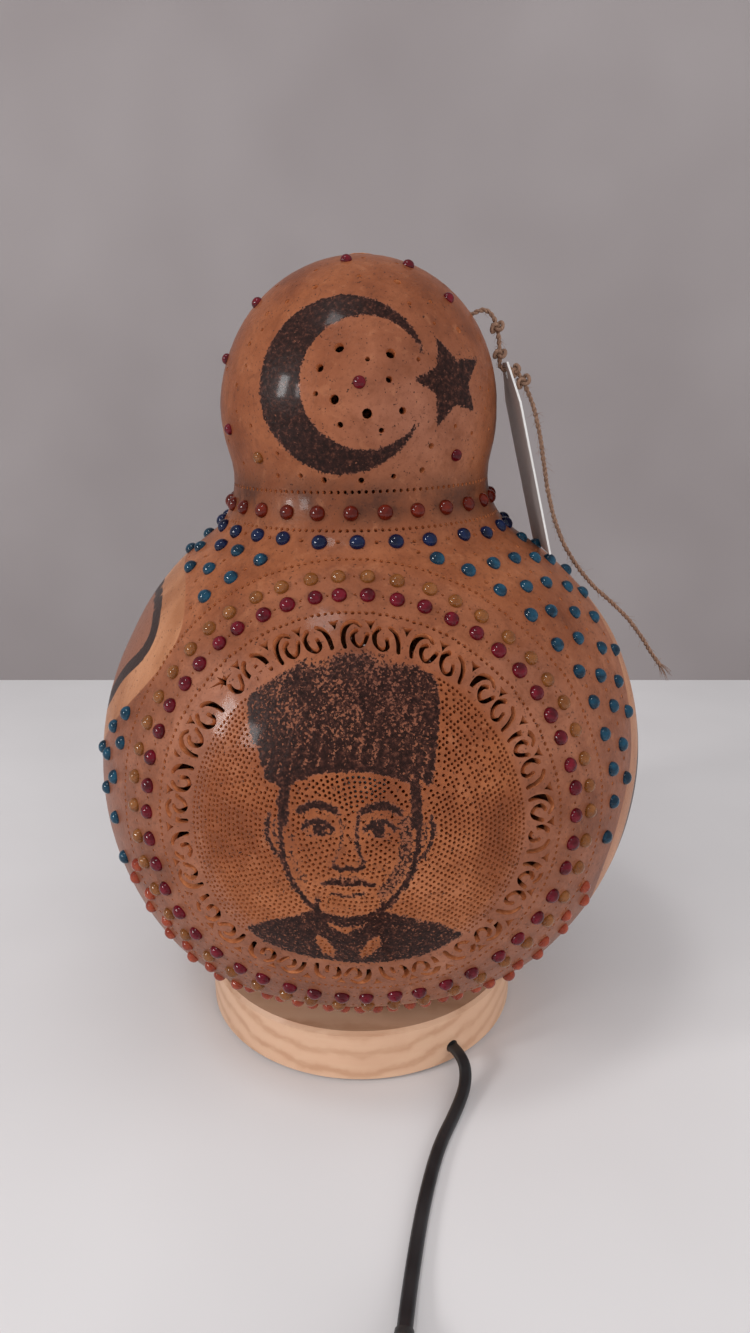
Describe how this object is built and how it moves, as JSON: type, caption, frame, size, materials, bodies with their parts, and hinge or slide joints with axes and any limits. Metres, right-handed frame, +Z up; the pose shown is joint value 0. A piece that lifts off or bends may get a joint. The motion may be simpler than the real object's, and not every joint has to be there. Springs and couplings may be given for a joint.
{
  "type": "carved gourd lamp",
  "caption": "Table lamp made of a drilled and burned gourd set with glass beads, over a turned wooden base with lampholder, switched cord and plug, with a twine tag.",
  "frame": {"origin": "centre of the felt foot's underside on the table", "axes": "+Z up the gourd's axis; the carved medallion faces -Y; the tag hangs on the +X side; the cord runs out towards -Y"},
  "size_m": [0.2624, 0.5202, 0.3451],
  "materials": {
    "gourd_skin": "varnished",
    "pine": "oiled",
    "felt": "matt",
    "glass_crimson": "gloss",
    "glass_amber": "gloss",
    "glass_rust": "gloss",
    "glass_navy": "gloss",
    "glass_turquoise": "gloss",
    "glass_orange": "gloss",
    "jute": "matt",
    "card": "matt",
    "black_pvc": "satin",
    "white_plastic": "satin",
    "frosted_cover": "frosted",
    "circuit_board": "matt",
    "phosphor": "matt",
    "bakelite": "satin",
    "steel": "zinc plated",
    "nickel": "nickel plated",
    "brass": "plain"
  },
  "bodies": {
    "base": {"base_disc": "pine", "foot_felt": "felt", "nipple": "steel", "nipple_washer": "steel", "nipple_nut": "steel", "holder_cap": "bakelite", "holder_sleeve": "bakelite", "holder_insert": "white_plastic", "holder_liner": "brass", "holder_tongue": "brass", "terminal_screws": "brass", "lead_wires": "black_pvc", "cord_clamp": "bakelite", "clamp_screws": "steel", "cord_inner": "black_pvc", "power_cord": "black_pvc", "switch_bottom": "bakelite", "switch_top": "bakelite", "switch_contacts": "brass", "switch_screws": "steel", "cord_lead": "black_pvc", "cord_coil": "black_pvc", "cord_tail": "black_pvc", "cord_tie": "bakelite", "plug_body": "bakelite", "plug_pins": "nickel"},
    "shade": {"gourd_shell": "gourd_skin", "stem_plug": "gourd_skin", "crimson_beads": "glass_crimson", "amber_beads": "glass_amber", "neck_beads": "glass_rust", "navy_beads": "glass_navy", "turquoise_beads": "glass_turquoise", "orange_beads": "glass_orange", "twine": "jute", "twine_knots": "jute"},
    "bulb": {"bulb_contact": "brass", "bulb_insulator": "bakelite", "bulb_cap": "nickel", "bulb_collar": "white_plastic", "bulb_cover": "frosted_cover", "bulb_board": "circuit_board", "bulb_chips": "phosphor"},
    "rocker": {"switch_rocker": "bakelite"},
    "tag": {"tag_card": "card"}
  },
  "joints": [
    {"name": "shade_lift", "type": "slide", "parent": "base", "child": "shade", "axis": [0, 0, 1], "range_m": [0, 0.13]},
    {"name": "bulb_lift", "type": "slide", "parent": "base", "child": "bulb", "axis": [0, 0, 1], "range_m": [0, 0.022]},
    {"name": "rocker_tilt", "type": "hinge", "parent": "base", "child": "rocker", "pos_m": [0.01176, -0.23889, 0.0116], "axis": [-0.9966, 0.0821, 0], "range_deg": [-18, 0]},
    {"name": "tag_swing", "type": "hinge", "parent": "shade", "child": "tag", "pos_m": [0.0615, -0.005, 0.3], "axis": [0.9699, 0, 0.2436], "range_deg": [-25, 25]}
  ]
}
